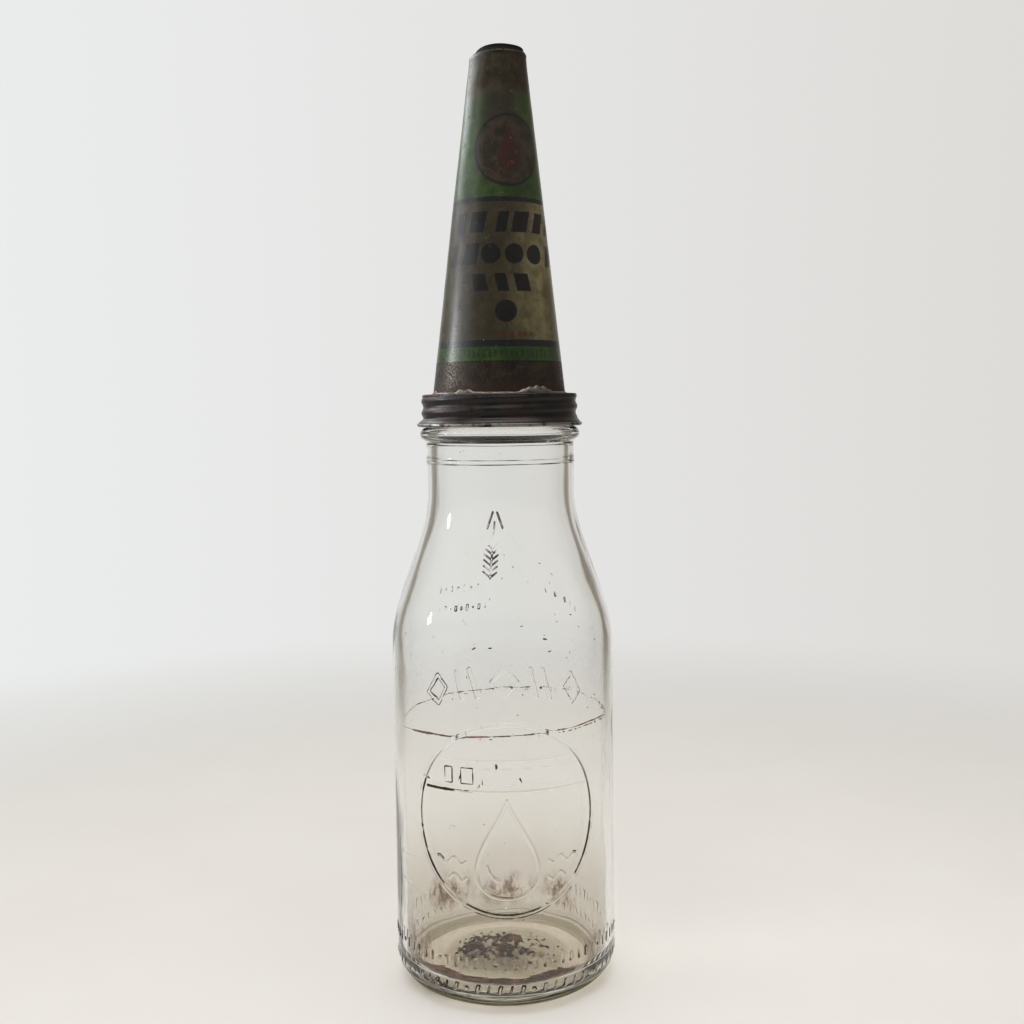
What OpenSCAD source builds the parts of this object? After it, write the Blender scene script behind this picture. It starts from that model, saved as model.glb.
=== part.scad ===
// One-quart glass oil bottle with a screw-on conical tinplate pourer.
// Millimetres. Origin at the centre of the base, +Z up, front faces -Y.

/* [Bottle] */
// Outside diameter of the straight body
body_d = 97.2; // [94:0.2:100]
// Outside diameter of the neck
neck_d = 64; // [63.6:0.1:64.6]
// Height at which the straight body ends and the shoulder begins
shoulder_z = 148; // [140:1:152]
// Slope of the shoulder away from vertical
shoulder_slope = 18.5; // [17:0.5:20]
// Outside radius of the rounded heel
heel_r = 12; // [9:0.5:14]
// Glass thickness of the body and shoulder
wall = 4; // [3:0.1:4.6]
// Glass thickness at the centre of the base
base_t = 7; // [5:0.5:9]
// Height of the push-up under the base
push_up = 3; // [1:0.5:4]
// Height of the lip
lip_z = 254.3; // [252:0.1:256]
// Diameter of the bore through the neck
bore_d = 56.4; // [54:0.2:57]
// Outside diameter of the transfer bead below the thread
bead_d = 69.2; // [68:0.1:69.4]

/* [Thread] */
// Rise of the thread in one turn
pitch = 5.08; // [5.08]
// Turns of the glass thread
thread_turns = 1.3; // [1:0.05:1.4]
// Diameter of the glass between the threads
root_d = 63.4; // [63:0.1:63.6]
// Diameter over the glass thread
crest_d = 66.2; // [65.8:0.1:66.3]
// Diameter over the ridges rolled into the tin collar
ridge_d = 67.8; // [67.7:0.1:68]
// Depth of the grooves rolled into the tin collar
roll_depth = 0.8; // [0.6:0.1:0.9]

/* [Pourer] */
// Thickness of the tinplate
tin = 0.4; // [0.3:0.05:0.45]
// Height of the collar's skirt, from the curled edge to the flange
skirt_h = 13; // [12.5:0.1:13.2]
// Outside diameter over the collar's curled lower edge
curl_d = 71.6; // [71.4:0.1:72]
// Outside diameter of the cone where it stands on the collar
cone_base_d = 57.2; // [56:0.2:58]
// Outside diameter of the cone just below its rounded tip
cone_tip_d = 24.2; // [22:0.2:26]
// Height of the cone above the collar's flange
cone_h = 145.7; // [120:0.1:160]
// Diameter of the pouring mouth
mouth_d = 17; // [15:0.5:18]
// Thickness of the cork gasket
gasket_t = 1.6; // [1.2:0.1:2]

/* [Hidden] */
$fn = 96;

body_r = body_d / 2;
neck_r = neck_d / 2;
bead_r = bead_d / 2;
root_r = root_d / 2;
crest_r = crest_d / 2;
bore_r = bore_d / 2;
shoulder_blend_r = 55;
neck_blend_r = 60;
bead_section_r = 3.2;
bead_z = 239.3;
lip_round = 1.2;
foot_width = 3;

flange_z = lip_z + gasket_t;
collar_top = flange_z + tin;
curl_r = 0.9;
curl_z = collar_top - skirt_h;
curl_centre_r = curl_d / 2 - curl_r;
ridge_r = ridge_d / 2;
roll_mid_r = ridge_r - roll_depth / 2;
// Height of a thread ridge at the angle 0 (the +X side)
thread_phase_z = 250.8;

cone_base_r = cone_base_d / 2;
cone_tip_r = cone_tip_d / 2;
tip_round_h = 5.6;
cone_slope = (cone_base_r - cone_tip_r) / (cone_h - tip_round_h);
rim_curl_r = 0.9;
spigot_h = 3.5;
solder_gap = 0.05;
solder_leg = 1.1;
lap_width = 7;
seam_angle = 90;

// Points of an arc from angle a to angle b, both ends included
function arc(centre, r, a, b, steps) =
    [for (i = [0:steps]) centre + r * [cos(a + (b - a) * i / steps), sin(a + (b - a) * i / steps)]];

// Smooth step from 0 to 1 as x goes from a to b
function ease(a, b, x) = let (t = min(1, max(0, (x - a) / (b - a)))) t * t * (3 - 2 * t);

// Height at which the shoulder's straight flank would meet the radius r
function flank_z(side_r, blend_r, r) =
    shoulder_z + blend_r * tan(shoulder_slope / 2) + (side_r - r) / tan(shoulder_slope);

// The side of the bottle from the top of the body to the neck, for the outer or inner wall
function shoulder(side_r, upper_r, blend_r, upper_blend_r) =
    let (meet_z = flank_z(side_r, blend_r, upper_r),
         end_z = meet_z + upper_blend_r * tan(shoulder_slope / 2))
    concat(
        arc([side_r - blend_r, shoulder_z], blend_r, 0, shoulder_slope, 8),
        arc([upper_r + upper_blend_r, end_z], upper_blend_r, 180 + shoulder_slope, 180, 8));

function outer_wall() = concat(
    [[0, push_up], [body_r - heel_r - foot_width, 0]],
    arc([body_r - heel_r, heel_r], heel_r, -90, 0, 8),
    shoulder(body_r, neck_r, shoulder_blend_r, neck_blend_r),
    arc([bead_r - bead_section_r, bead_z], bead_section_r, -75, 90, 8),
    [[root_r, bead_z + bead_section_r]],
    arc([root_r - lip_round, lip_z - lip_round], lip_round, 0, 90, 4));

function inner_wall() =
    let (in_r = body_r - wall, in_heel = heel_r - wall / 2, floor_z = base_t - 1)
    concat(
        [[0, push_up + base_t], [in_r - in_heel, floor_z]],
        arc([in_r - in_heel, floor_z + in_heel], in_heel, -60, 0, 6),
        shoulder(in_r, bore_r, shoulder_blend_r - wall, neck_blend_r + wall),
        arc([bore_r + lip_round, lip_z - lip_round], lip_round, 180, 90, 4));

function reversed(list) = [for (i = [len(list) - 1:-1:0]) list[i]];

// A rounded glass ridge along a path on the wall. Each path entry is
// [position, outward normal, sideways direction, half width, height].
// The section's foot is sunk into the glass, and its rows are [sideways, height].
ridge_section = [[-1.1, -1], [-0.55, 0.7], [0, 1], [0.55, 0.7], [1.1, -1]];
ridge_sink = 0.6;

function section_points(entry) =
    [for (s = ridge_section)
        entry[0] + entry[2] * s[0] * entry[3] + entry[1] * (s[1] < 0 ? -ridge_sink : s[1] * entry[4])];

module ridge(path, closed) {
    n = len(path);
    m = len(ridge_section);
    points = [for (entry = path) each section_points(entry)];
    spans = closed ? n : n - 1;
    sides = [for (i = [0:spans - 1], j = [0:m - 1])
        let (a = i * m + j, b = i * m + (j + 1) % m,
             c = ((i + 1) % n) * m + (j + 1) % m, d = ((i + 1) % n) * m + j)
        each [[a, b, c], [a, c, d]]];
    ends = closed ? [] : [[for (j = [m - 1:-1:0]) j], [for (j = [0:m - 1]) (n - 1) * m + j]];
    polyhedron(points, concat(sides, ends), convexity = 6);
}

function radial(a) = [cos(a), sin(a), 0];

// Height of the thread's centre line at the angle a
function thread_z(a) = thread_phase_z + pitch * a / 360;

module glass_thread() {
    steps = 84;
    half_width = 1.4;
    end_half_width = 0.9;
    end_height = 0.5;
    start = -180 - 360 * (thread_turns - 0.75);
    path = [for (i = [0:steps])
        let (a = start + 360 * thread_turns * i / steps,
             taper = ease(0, 0.12, i / steps) * ease(0, 0.12, 1 - i / steps))
        [radial(a) * root_r + [0, 0, thread_z(a)], radial(a), [0, 0, 1],
            end_half_width + (half_width - end_half_width) * taper,
            end_height + (crest_r - root_r - end_height) * taper]];
    ridge(path, false);
}

// The raised ring moulded on the front of the body
ring_radius = 40;
ring_z = 82.5;

module front_ring() {
    steps = 72;
    path = [for (i = [0:steps - 1])
        let (t = -360 * i / steps, a = -90 + ring_radius * cos(t) / body_r * 180 / PI,
             side = [-sin(a) * cos(t), cos(a) * cos(t), sin(t)])
        [radial(a) * body_r + [0, 0, ring_z + ring_radius * sin(t)], radial(a), side, 1.1, 0.5]];
    ridge(path, true);
}

// The arrow that marks the full level, raised on the front of the neck
arrow_top = 208;
arrow_h = 26;
arrow_w = 7;

module full_mark() {
    shaft_w = 2.2;
    front = neck_r + 3.2;
    intersection() {
        rotate([90, 0, 0])
            linear_extrude(front + 12)
                polygon([[0, arrow_top], [arrow_w / 2, arrow_top - arrow_w],
                    [shaft_w / 2, arrow_top - arrow_w], [shaft_w / 2, arrow_top - arrow_h],
                    [-shaft_w / 2, arrow_top - arrow_h], [-shaft_w / 2, arrow_top - arrow_w],
                    [-arrow_w / 2, arrow_top - arrow_w]]);
        mark_shell();
    }
}

// A thin skin over the shoulder and neck that the full mark is cut from
module mark_shell() {
    raise = 0.5;
    side = shoulder(body_r, neck_r, shoulder_blend_r, neck_blend_r);
    rotate_extrude()
        polygon(concat(
            [for (p = side) p + [raise, 0]],
            reversed([for (p = side) p - [1, 0]])));
}

module bottle() {
    color([0.78, 0.82, 0.76, 0.5]) {
        rotate_extrude() polygon(concat(outer_wall(), reversed(inner_wall())));
        glass_thread();
        front_ring();
        full_mark();
    }
}

module gasket() {
    color("peru")
        translate([0, 0, lip_z])
            difference() {
                cylinder(h = gasket_t, r = root_r + 0.8);
                translate([0, 0, -1]) cylinder(h = gasket_t + 2, r = bore_r - 0.6);
            }
}

// Outside radius of the collar's skirt at angle a and height z. The rolled thread
// fades out into the plain corner above it and flares into the curl below it.
function skirt_r(a, z) =
    let (wave = roll_depth / 2 * cos(360 * (z - thread_z(a)) / pitch),
         fade_top = ease(0.3, 1.8, collar_top - z),
         flare = 1 - ease(0, 2.2, z - curl_z - 0.6),
         rolled = roll_mid_r + wave * fade_top)
    max(rolled, rolled * (1 - flare) + (curl_centre_r + tin / 2) * flare);

// The collar's section at angle a, followed around the sheet: up the spigot's inside,
// down its outside, across the flange, down the skirt, around the curl and back inside.
skirt_rows = 15;

function skirt_side(a, inset) =
    [for (i = [0:skirt_rows])
        let (z = collar_top - 0.9 - (collar_top - 0.9 - curl_z - curl_r * 0.7) * i / skirt_rows)
        [skirt_r(a, z) - inset, z]];

function collar_section(a) =
    let (spigot_low = cone_base_r - tin - solder_gap, spigot_top = spigot_low - cone_slope * spigot_h,
         corner = skirt_r(a, collar_top - 0.5))
    concat(
        [[spigot_low - tin, flange_z], [spigot_top - tin, collar_top + spigot_h],
            [spigot_top, collar_top + spigot_h], [spigot_low, collar_top],
            [corner - 0.8, collar_top], [corner - 0.25, collar_top - 0.2]],
        skirt_side(a, 0),
        arc([curl_centre_r, curl_z], curl_r, 40, -220, 7),
        reversed(skirt_side(a, tin)),
        [[corner - tin - 0.5, flange_z]]);

module screw_collar() {
    around = 96;
    rows = len(collar_section(0));
    points = [for (i = [0:around - 1])
        let (a = 360 * i / around)
        each [for (p = collar_section(a)) radial(a) * p[0] + [0, 0, p[1]]]];
    faces = [for (i = [0:around - 1], j = [0:rows - 1])
        let (k = (i + 1) % around, a = i * rows + j, b = i * rows + (j + 1) % rows,
             c = k * rows + (j + 1) % rows, d = k * rows + j)
        each [[a, b, c], [a, c, d]]];
    color("dimgray") polyhedron(points, faces, convexity = 8);
}

// Outside radius of the cone at the height h above the flange
function cone_r(h) = cone_base_r - cone_slope * h;

// The cone's sheet in section, from the foot up the outside, over the curled rim and
// down the inside
function cone_sheet() =
    let (straight_h = cone_h - tip_round_h, mouth_r = mouth_d / 2,
         rim_centre = [mouth_r + rim_curl_r, cone_h - rim_curl_r],
         shoulder_r = cone_tip_r - 0.25)
    concat(
        [[cone_r(0), 0], [cone_tip_r, straight_h], [shoulder_r, straight_h + 1.6]],
        arc(rim_centre, rim_curl_r, 50, 270, 8),
        [[shoulder_r - tin - 0.05, straight_h + 1.4], [cone_tip_r - tin, straight_h], [cone_r(0) - tin, 0]]);

// The second layer of sheet where the cone's edges overlap at the back
module lap() {
    half_angle = lap_width / 2 / cone_base_r * 180 / PI;
    lap_top = cone_h - tip_round_h - 1;
    rotate([0, 0, seam_angle - half_angle])
        rotate_extrude(angle = 2 * half_angle)
            polygon([[cone_r(0) - 0.1, 0], [cone_r(0) + tin, 0],
                [cone_r(lap_top) + tin, lap_top], [cone_r(lap_top) - 0.1, lap_top]]);
}

module cone_shape() {
    rotate_extrude() polygon(cone_sheet());
    lap();
}

module pourer_cone() {
    color("olivedrab") translate([0, 0, collar_top]) cone_shape();
}

// The solid that the cone and its lap fill, for trimming the solder against it
module cone_envelope() {
    rotate_extrude() polygon([[0, -1], [cone_r(-1), -1], [cone_r(cone_h), cone_h], [0, cone_h]]);
    lap();
}

module collar_solder() {
    color("silver") translate([0, 0, collar_top])
        difference() {
            union() {
                rotate_extrude()
                    polygon([[cone_r(0) - 1, 0], [cone_r(0) + solder_leg, 0],
                        [cone_r(solder_leg), solder_leg], [cone_r(solder_leg) - 1, solder_leg]]);
                for (a = [-62, -48, -125]) rotate([0, 0, a]) translate([cone_r(0) + 0.7, 0, 0.3]) sphere(r = 1.5);
            }
            cone_envelope();
            translate([0, 0, -5]) cylinder(h = 5, r = body_r);
        }
}

// The run of solder along the free edge of the lap
module seam_solder() {
    lap_half_angle = lap_width / 2 / cone_base_r * 180 / PI;
    run_angle = 2.6;
    low = 4;
    high = cone_h - tip_round_h - 4;
    color("silver")
        translate([0, 0, collar_top])
            rotate([0, 0, seam_angle - lap_half_angle - run_angle])
                rotate_extrude(angle = run_angle)
                    polygon([[cone_r(low), low], [cone_r(low) + tin, low],
                        [cone_r(high) + tin, high], [cone_r(high), high]]);
}

bottle();
gasket();
screw_collar();
pourer_cone();
collar_solder();
seam_solder();
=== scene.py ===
"""Looks of a glass oil bottle with a screw-on tin pourer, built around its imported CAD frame.

Lengths inside the builders are millimetres in the row frame: the origin is at the centre of the base,
+Z is up and the front faces -Y. Pieces are made in metres.
"""
import math

import bpy
import numpy as np
from mathutils import Matrix, Vector


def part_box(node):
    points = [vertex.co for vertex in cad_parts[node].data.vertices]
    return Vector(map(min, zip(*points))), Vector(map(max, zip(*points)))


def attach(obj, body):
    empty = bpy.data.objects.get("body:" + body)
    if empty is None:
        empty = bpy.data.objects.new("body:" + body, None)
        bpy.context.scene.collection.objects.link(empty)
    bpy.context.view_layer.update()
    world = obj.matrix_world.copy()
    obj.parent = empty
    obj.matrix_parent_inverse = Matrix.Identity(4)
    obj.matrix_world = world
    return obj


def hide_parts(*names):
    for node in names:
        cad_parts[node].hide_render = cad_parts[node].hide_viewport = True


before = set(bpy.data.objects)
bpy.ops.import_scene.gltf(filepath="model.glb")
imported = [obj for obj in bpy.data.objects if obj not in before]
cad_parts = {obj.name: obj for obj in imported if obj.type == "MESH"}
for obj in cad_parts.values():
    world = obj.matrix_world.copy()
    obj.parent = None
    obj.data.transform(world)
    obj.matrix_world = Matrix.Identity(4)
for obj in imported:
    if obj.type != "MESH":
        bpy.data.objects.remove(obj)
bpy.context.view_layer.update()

MM = 0.001
QUARTER = math.pi / 2


# ---- sizes from the CAD frame

def span(node):
    """Lowest and highest corner of a CAD node, in millimetres."""
    low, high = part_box(node)
    return np.array(low) / MM, np.array(high) / MM


bottle_low, bottle_high = span("bottle")
gasket_low, gasket_high = span("gasket")
collar_low, collar_high = span("screw_collar")
cone_low, cone_high = span("pourer_cone")
foot_high = span("collar_solder")[1]
seam_low, seam_high = span("seam_solder")

BODY_R = bottle_high[0] - 0.25  # leaves room for the raised marks
LIP_Z = bottle_high[2]
SHOULDER_Z = 148.0  # where the straight body ends
SLOPE = math.radians(18.5)  # of the shoulder
SHOULDER_BLEND_R, NECK_BLEND_R = 55.0, 60.0
HEEL_R, PUSH_UP = 12.0, 3.0
NECK_R = 32.0
BEAD_R, BEAD_Z, BEAD_SECTION_R = 34.6, 239.4, 2.7
ROOT_R, CREST_H, PITCH, THREAD_Z = 31.7, 1.4, 5.08, 250.8  # the glass thread
BORE_R, LIP_ROUND = 28.2, 1.2
IN_R = BODY_R - 4.0
IN_HEEL, FLOOR_Z = 10.0, 6.0
TIN = 0.4  # thickness of the pourer's sheet


# ---- small maths

rng = np.random.default_rng(41)
SHUFFLE = rng.permutation(256)
LEVELS = rng.uniform(-1, 1, 256)


def noise(points, scale, seed=0):
    """Smooth noise from -1 to 1 at points (last axis x, y, z), with features about scale across."""
    p = np.asarray(points, float) / scale + seed * 17.37
    cell = np.floor(p).astype(int)
    f = p - cell
    f = f * f * (3 - 2 * f)
    total = 0
    for dx in (0, 1):
        for dy in (0, 1):
            for dz in (0, 1):
                h = SHUFFLE[(cell[..., 0] + dx) & 255]
                h = SHUFFLE[(h + cell[..., 1] + dy) & 255]
                h = SHUFFLE[(h + cell[..., 2] + dz) & 255]
                weight = (np.where(dx, f[..., 0], 1 - f[..., 0])
                          * np.where(dy, f[..., 1], 1 - f[..., 1])
                          * np.where(dz, f[..., 2], 1 - f[..., 2]))
                total = total + LEVELS[h] * weight
    return total


def rough_noise(points, scale, octaves=3, seed=0):
    """Several layers of noise, each half the size and half the strength of the one before."""
    return sum(noise(points, scale / 2 ** k, seed + 3 * k) / 2 ** k for k in range(octaves))


def ease(a, b, x):
    t = np.clip((np.asarray(x, float) - a) / (b - a), 0, 1)
    return t * t * (3 - 2 * t)


def turned(angle):
    """Angle in radians, brought into -pi to pi."""
    return (np.asarray(angle) + math.pi) % (2 * math.pi) - math.pi


def polar(r, angle, z):
    """Points at a distance from the axis, an angle from +X and a height."""
    return np.stack(np.broadcast_arrays(r * np.cos(angle), r * np.sin(angle), z), -1)


def bell(x):
    return np.exp(-x ** 2)


# ---- pieces

def placed(name, data):
    thing = bpy.data.objects.new(name, data)
    bpy.context.scene.collection.objects.link(thing)
    return thing


def make_piece(name, points, faces, body, material, stands_for=(), sharp=None):
    """A mesh piece from points in millimetres, turned outside out, riding on a CAD body."""
    mesh = bpy.data.meshes.new(name)
    mesh.from_pydata((np.asarray(points) * MM).tolist(), [], faces)
    mesh.validate()
    mesh.update()
    mesh.calc_loop_triangles()
    corners = np.array([t.vertices for t in mesh.loop_triangles])
    co = np.asarray(points)[corners]
    if np.einsum("ij,ij->i", co[:, 0], np.cross(co[:, 1], co[:, 2])).sum() < 0:
        mesh.flip_normals()
    mesh.polygons.foreach_set("use_smooth", [True] * len(mesh.polygons))
    if sharp:
        mesh.set_sharp_from_angle(angle=math.radians(sharp))
    mesh.update()
    mesh.materials.append(material)
    piece = placed(name, mesh)
    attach(piece, body)
    if stands_for:
        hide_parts(*stands_for)
    return piece


def ring_faces(columns, rows):
    """Quads of a closed section of that many rows, swept round that many columns."""
    i = np.arange(columns)[:, None]
    j = np.arange(rows)[None, :]
    k, m = (i + 1) % columns, (j + 1) % rows
    quads = np.stack([i * rows + j, k * rows + j, k * rows + m, i * rows + m], -1)
    return quads.reshape(-1, 4).tolist()


def swept_piece(name, columns, section, body, material, node, sharp=60):
    """A piece made by sweeping a closed section round the axis. section(angle) gives its r and z."""
    points = []
    for i in range(columns):
        angle = 2 * math.pi * i / columns
        r, z = section(angle)
        points.append(polar(r, angle, z))
    return make_piece(name, np.concatenate(points), ring_faces(columns, len(points[0])), body,
                      material, [node], sharp)


# ---- the glass: profile

STEPS = 8  # lattice steps in one coarse row or column
LEVEL = 0.012  # a cell whose relief varies by less than this, in millimetres, isn't split


def line(a, b, rows):
    t = np.linspace(0, 1, rows * STEPS + 1)[:, None]
    return np.array(a) * (1 - t) + np.array(b) * t


def arc(centre, radius, a, b, rows):
    t = np.radians(np.linspace(a, b, rows * STEPS + 1))
    return np.array(centre) + radius * np.stack([np.cos(t), np.sin(t)], -1)


def flank(side_r, blend_r, upper_r, upper_blend_r):
    """The shoulder's two blend arcs: the lower one's centre, and the upper one's."""
    top_r = side_r - blend_r * (1 - math.cos(SLOPE))
    top_z = SHOULDER_Z + blend_r * math.sin(SLOPE)
    low_r = upper_r + upper_blend_r * (1 - math.cos(SLOPE))
    low_z = top_z + (top_r - low_r) / math.tan(SLOPE)
    end_z = low_z + upper_blend_r * math.sin(SLOPE)
    return (side_r - blend_r, SHOULDER_Z), (upper_r + upper_blend_r, end_z)


def joined(parts):
    """One list of profile points from several, and for each coarse row how coarse it may stay."""
    points, coarseness = [parts[0][0][:1]], []
    for part, size in parts:
        points.append(part[1:])
        coarseness += [size] * ((len(part) - 1) // STEPS)
    return np.concatenate(points), np.array(coarseness)


low_c, high_c = flank(BODY_R, SHOULDER_BLEND_R, NECK_R, NECK_BLEND_R)
in_low_c, in_high_c = flank(IN_R, SHOULDER_BLEND_R - 4, BORE_R, NECK_BLEND_R + 4)
slope_deg = math.degrees(SLOPE)
foot_r = BODY_R - HEEL_R


def push_up_curve(rows):
    r = np.linspace(0.3, foot_r - 3, rows * STEPS + 1)
    return np.stack([r, PUSH_UP * (1 - ease(4, foot_r - 3, r))], -1)


def floor_curve(rows):
    r = np.linspace(IN_R - IN_HEEL, 0.3, rows * STEPS + 1)
    return np.stack([r, FLOOR_Z + 4 * (1 - ease(2, IN_R - IN_HEEL, r))], -1)


shoulder_low = arc(low_c, SHOULDER_BLEND_R, 0, slope_deg, 9)
neck_low = arc(high_c, NECK_BLEND_R, 180 + slope_deg, 180, 10)
in_shoulder = arc(in_high_c, NECK_BLEND_R + 4, 180, 180 + slope_deg, 10)
in_body = arc(in_low_c, SHOULDER_BLEND_R - 4, slope_deg, 0, 8)
bead_c = (BEAD_R - BEAD_SECTION_R, BEAD_Z)
bead = arc(bead_c, BEAD_SECTION_R, -74, 86, 14)
heel_c = (BODY_R - HEEL_R, HEEL_R)
inner_heel_c = (IN_R - IN_HEEL, FLOOR_Z + IN_HEEL)

outer_profile, outer_coarse = joined([
    (push_up_curve(16), 8),
    (line((foot_r - 3, 0), (foot_r, 0), 2), 8),
    (arc(heel_c, HEEL_R, -90, 0, 10), 4),
    (line((BODY_R, HEEL_R), (BODY_R, SHOULDER_Z), 68), 8),
    (shoulder_low, 8),
    (line(shoulder_low[-1], neck_low[0], 16), 8),
    (neck_low, 8),
    (line((NECK_R, neck_low[-1][1]), (NECK_R, bead[0][1] - 1.2), 9), 8),
    (line((NECK_R, bead[0][1] - 1.2), bead[0], 2), 4),
    (bead, 4),
    (line(bead[-1], (ROOT_R, BEAD_Z + BEAD_SECTION_R + 0.3), 1), 8),
    (line((ROOT_R, BEAD_Z + BEAD_SECTION_R + 0.3), (ROOT_R, LIP_Z - LIP_ROUND), 5), 4),
    (arc((ROOT_R - LIP_ROUND, LIP_Z - LIP_ROUND), LIP_ROUND, 0, 90, 2), 4),
])
inner_profile, inner_coarse = joined([
    (line((ROOT_R - LIP_ROUND, LIP_Z), (BORE_R + LIP_ROUND, LIP_Z), 1), 8),
    (arc((BORE_R + LIP_ROUND, LIP_Z - LIP_ROUND), LIP_ROUND, 90, 180, 2), 4),
    (line((BORE_R, LIP_Z - LIP_ROUND), (BORE_R, in_shoulder[0][1]), 16), 8),
    (in_shoulder, 8),
    (line(in_shoulder[-1], in_body[0], 14), 8),
    (in_body, 8),
    (line((IN_R, SHOULDER_Z), (IN_R, inner_heel_c[1]), 60), 8),
    (arc(inner_heel_c, IN_HEEL, 0, -90, 8), 4),
    (floor_curve(14), 8),
])
profile = np.concatenate([outer_profile, inner_profile[1:]])
coarse = np.concatenate([outer_coarse, inner_coarse])
outer_rows = len(outer_profile)

along = np.gradient(profile, axis=0)
along /= np.linalg.norm(along, axis=1)[:, None]
profile_normal = np.stack([along[:, 1], -along[:, 0]], -1)


def wall_r(z):
    """Radius of the glass's inner wall at a height, before its waviness."""
    above_floor = (inner_profile[:, 0] > IN_R - IN_HEEL) | (inner_profile[:, 1] > SHOULDER_Z)
    rows = inner_profile[above_floor & (inner_profile[:, 1] < LIP_Z - 2)][::-1]
    return np.interp(z, rows[:, 1], rows[:, 0])


def calm(z):
    """How much of the glass's waviness shows at a height: none at the base and at the lip."""
    return ease(6, 14, z) * (1 - ease(LIP_Z - 18, LIP_Z - 14, z))


def wave_outer(points):
    """The old mould's unevenness on the outside, in millimetres."""
    return 0.08 * noise(points, 24, 1) + 0.035 * noise(points, 9, 2)


def wave_inner(points):
    """The blown glass's uneven inner wall, which bends what is seen through it."""
    p = np.asarray(points) * np.array([1, 1, 0.5])
    return 0.3 * noise(p, 24, 5) + 0.12 * noise(p, 10, 6)


# ---- the glass: what is moulded on it

COLUMNS = 160 * STEPS
MARK_MIN_R = 25  # marks are made only on the outside, where the profile is further out than this
angles = np.arange(COLUMNS) * 2 * math.pi / COLUMNS
outer_r, outer_z = outer_profile[:, 0][:, None], outer_profile[:, 1][:, None]
U = turned(angles + QUARTER)[None, :] * np.maximum(outer_r, MARK_MIN_R)
V = np.broadcast_to(outer_z, U.shape)
BACK_U = turned(angles - QUARTER)[None, :] * np.maximum(outer_r, MARK_MIN_R)
relief = np.zeros(U.shape)


def marked_rows(z0, z1):
    heights = outer_z[:, 0]
    return np.nonzero((heights > z0) & (heights < z1) & (outer_r[:, 0] > MARK_MIN_R))[0]


def window(across, reach):
    """The part of the lattice that holds a mark, by its low and high u and its low and high z."""
    u0, u1, z0, z1 = reach
    rows = marked_rows(z0, z1)
    rows = np.arange(rows[0], rows[-1] + 1)
    inside = np.any((across[rows] > u0) & (across[rows] < u1), axis=0)
    return np.ix_(rows, np.nonzero(inside)[0])


def stroke(points, half_width, height, across=U, flat=0.0):
    """A rounded ridge along a line of (u, z) points. flat is the share of its width that is level."""
    points = np.asarray(points, float)
    low, high = points.min(0) - half_width - 0.3, points.max(0) + half_width + 0.3
    w = window(across, (low[0], high[0], low[1], high[1]))
    u, v = across[w], V[w]
    best = np.full(u.shape, 1e9)
    for a, b in zip(points[:-1], points[1:]):
        d = b - a
        t = np.clip(((u - a[0]) * d[0] + (v - a[1]) * d[1]) / max(d @ d, 1e-9), 0, 1)
        best = np.minimum(best, np.hypot(u - a[0] - t * d[0], v - a[1] - t * d[1]))
    shape = 1 - ease(flat * half_width, half_width, best)
    relief[w] = np.where(height > 0, np.maximum(relief[w], height * shape),
                         np.minimum(relief[w], height * shape))


def block(u0, z0, width, tall, height, across=U, edge=0.55, lean=0.0):
    """A raised flat patch with soft edges, leaning to the right by lean for each unit of height."""
    reach = width / 2 + edge + abs(lean) * tall
    w = window(across, (u0 - reach, u0 + reach, z0 - tall / 2 - edge, z0 + tall / 2 + edge))
    u, v = across[w] - u0 - lean * (V[w] - z0), V[w] - z0
    d = np.maximum(np.abs(u) - width / 2, np.abs(v) - tall / 2)
    relief[w] = np.maximum(relief[w], height * (1 - ease(-edge / 2, edge / 2, d)))


def ring_line(z, half_width, height):
    rows = marked_rows(z - half_width, z + half_width)
    shape = 1 - ease(0, half_width, np.abs(outer_z[rows, 0] - z))
    relief[rows] = relief[rows] + height * shape[:, None]


RING_U, RING_Z, RING_R = 1.3, 82.5, 40.0  # the ring on the front: its centre and radius


def chord(z, margin):
    """Half the ring's width at a height, inside a margin."""
    return math.sqrt(max(0.0, (RING_R - margin) ** 2 - (z - RING_Z) ** 2))


def moulded_emblem():
    """The ring on the front, with a plain oil drop, a band of bars and two rows of waves in it."""
    turn = np.linspace(0, 2 * math.pi, 97)
    stroke(np.stack([RING_U + RING_R * np.cos(turn), RING_Z + RING_R * np.sin(turn)], -1), 1.15, 0.5,
           flat=0.35)
    drop_z, drop_h, drop_w = 70.5, 20.5, 19.0
    stroke(np.stack([RING_U + drop_w * np.sin(turn) * np.sin(turn / 2) ** 1.7,
                     drop_z + drop_h * np.cos(turn)], -1), 0.9, 0.5, flat=0.3)
    shine = np.linspace(3.6, 4.5, 12)
    stroke(np.stack([RING_U + 8.5 * np.sin(shine), drop_z - 5 + 9 * np.cos(shine)], -1), 0.8, 0.5)
    for z in (94.6, 107.4):
        reach = chord(z, 2.4)
        stroke([(RING_U - reach, z), (RING_U + reach, z)], 0.6, 0.34)
    for k in range(7):
        block(RING_U + (k - 3) * 8.2, 101, 5.2 if k % 2 else 3.4, 6.6, 0.28, edge=0.7)
    for z in (58.0, 65.0):
        for side in (-1, 1):
            x = np.linspace(17.5, chord(z, 5), 24)
            stroke(np.stack([RING_U + side * x, z + 1.3 * np.sin(x * 0.9)], -1), 0.7, 0.34)


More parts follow.
